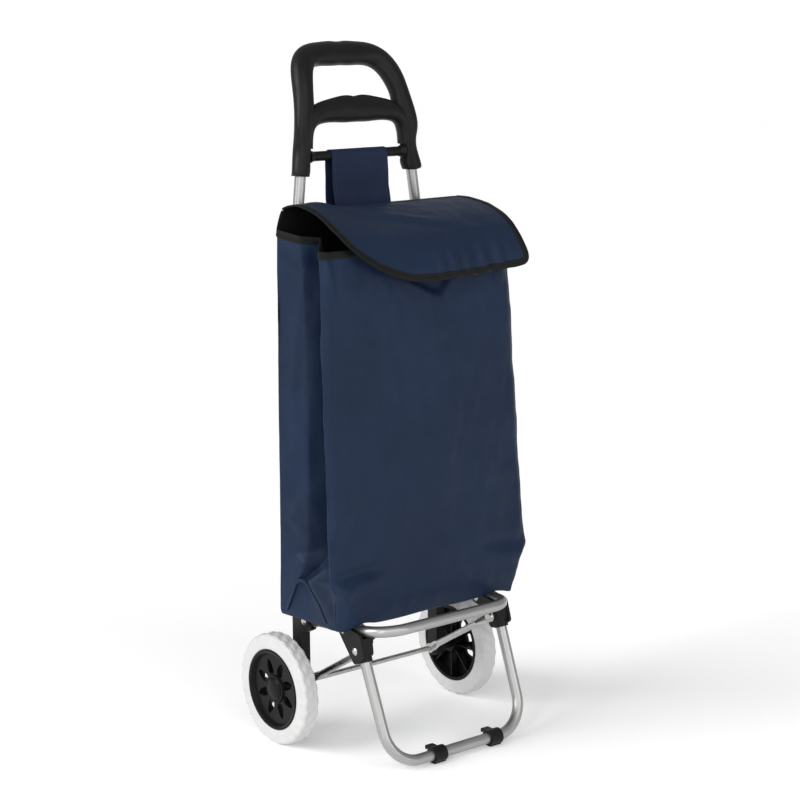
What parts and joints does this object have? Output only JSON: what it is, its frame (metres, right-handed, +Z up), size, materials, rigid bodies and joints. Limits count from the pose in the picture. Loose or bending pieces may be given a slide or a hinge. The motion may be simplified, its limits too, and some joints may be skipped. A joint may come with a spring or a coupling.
{
  "type": "shopping trolley",
  "caption": "Upright two-wheeled shopping trolley: bent tube frame with moulded loop handle, folding shelf and front leg, and a tall soft bag with pleated sides under a flap lid.",
  "frame": {"origin": "middle of the bounding box's bottom face: on the floor, in the trolley's middle plane, midway between the frontmost point of the leg clips and the rearmost point of the wheels", "axes": "+Z up, -Y towards the front (the side the bag faces), +X to the right of a person who stands in front of the trolley and looks at the bag"},
  "size_m": [0.3658, 0.3007, 1.0059],
  "materials": {
    "frame_tube": "silver-grey lacquer, satin",
    "zinc_steel": "zinc plated",
    "black_plastic": "fine moulded grain",
    "hub_plastic": "smooth semi-gloss moulding",
    "foam_tyre": "closed-cell foam, matt with a moulded tread",
    "bag_cloth": "plain-woven coated polyester, matt",
    "strap_cloth": "plain-woven polyester, matt",
    "binding_tape": "ribbed edge tape, matt"
  },
  "bodies": {
    "frame": {"handle": "black_plastic", "handle_screws": "zinc_steel", "upright_tube_left": "frame_tube", "upright_tube_right": "frame_tube", "axle_bracket_left": "black_plastic", "axle_bracket_right": "black_plastic", "bracket_rivets": "zinc_steel", "axle": "zinc_steel", "axle_push_nuts": "zinc_steel", "axle_sleeves": "black_plastic", "shelf_pivot_rivets": "zinc_steel", "bag_back_panel": "bag_cloth", "bag_bottom": "bag_cloth", "bag_front_panel": "bag_cloth", "bag_hem_binding": "binding_tape", "bag_side_left": "bag_cloth", "bag_side_right": "bag_cloth", "bag_strap": "strap_cloth"},
    "wheel_left": {"wheel_hub_left": "hub_plastic", "tyre_left": "foam_tyre", "hub_cap_left": "hub_plastic"},
    "wheel_right": {"wheel_hub_right": "hub_plastic", "tyre_right": "foam_tyre", "hub_cap_right": "hub_plastic"},
    "shelf": {"shelf_loop": "frame_tube"},
    "leg": {"leg_loop": "frame_tube", "leg_joint_left": "black_plastic", "leg_joint_right": "black_plastic", "leg_joint_rivets": "zinc_steel", "foot_clip_left": "black_plastic", "foot_clip_right": "black_plastic"},
    "struts": {"strut_left": "zinc_steel", "strut_right": "zinc_steel", "strut_rivets": "zinc_steel"},
    "flap": {"flap": "bag_cloth", "flap_binding": "binding_tape"}
  },
  "joints": [
    {"name": "wheel_left_spin", "type": "hinge", "parent": "frame", "child": "wheel_left", "pos_m": [-0.169, 0.0679, 0.0825], "axis": [1, 0, 0], "continuous": true},
    {"name": "wheel_right_spin", "type": "hinge", "parent": "frame", "child": "wheel_right", "pos_m": [0.169, 0.0679, 0.0825], "axis": [1, 0, 0], "continuous": true},
    {"name": "shelf_fold", "type": "hinge", "parent": "frame", "child": "shelf", "pos_m": [0, 0.0509, 0.181], "axis": [-1, 0, 0], "range_deg": [0, 76], "deforming": ["bag_front_panel", "bag_bottom", "bag_side_left", "bag_side_right"]},
    {"name": "leg_fold", "type": "hinge", "parent": "shelf", "child": "leg", "pos_m": [0, -0.0446, 0.1912], "axis": [-1, 0, 0], "range_deg": [-106, 0]},
    {"name": "strut_fold", "type": "hinge", "parent": "frame", "child": "struts", "pos_m": [0, 0.0679, 0.0825], "axis": [-1, 0, 0], "range_deg": [0, 46]},
    {"name": "flap_hinge", "type": "hinge", "parent": "frame", "child": "flap", "pos_m": [0, 0.0569, 0.778], "axis": [-1, 0, 0], "range_deg": [0, 92]}
  ],
  "couplings": [
    {"joint": "leg_fold", "follows": "shelf_fold", "ratio": -1.3667},
    {"joint": "strut_fold", "follows": "shelf_fold", "ratio": 0.5721}
  ]
}
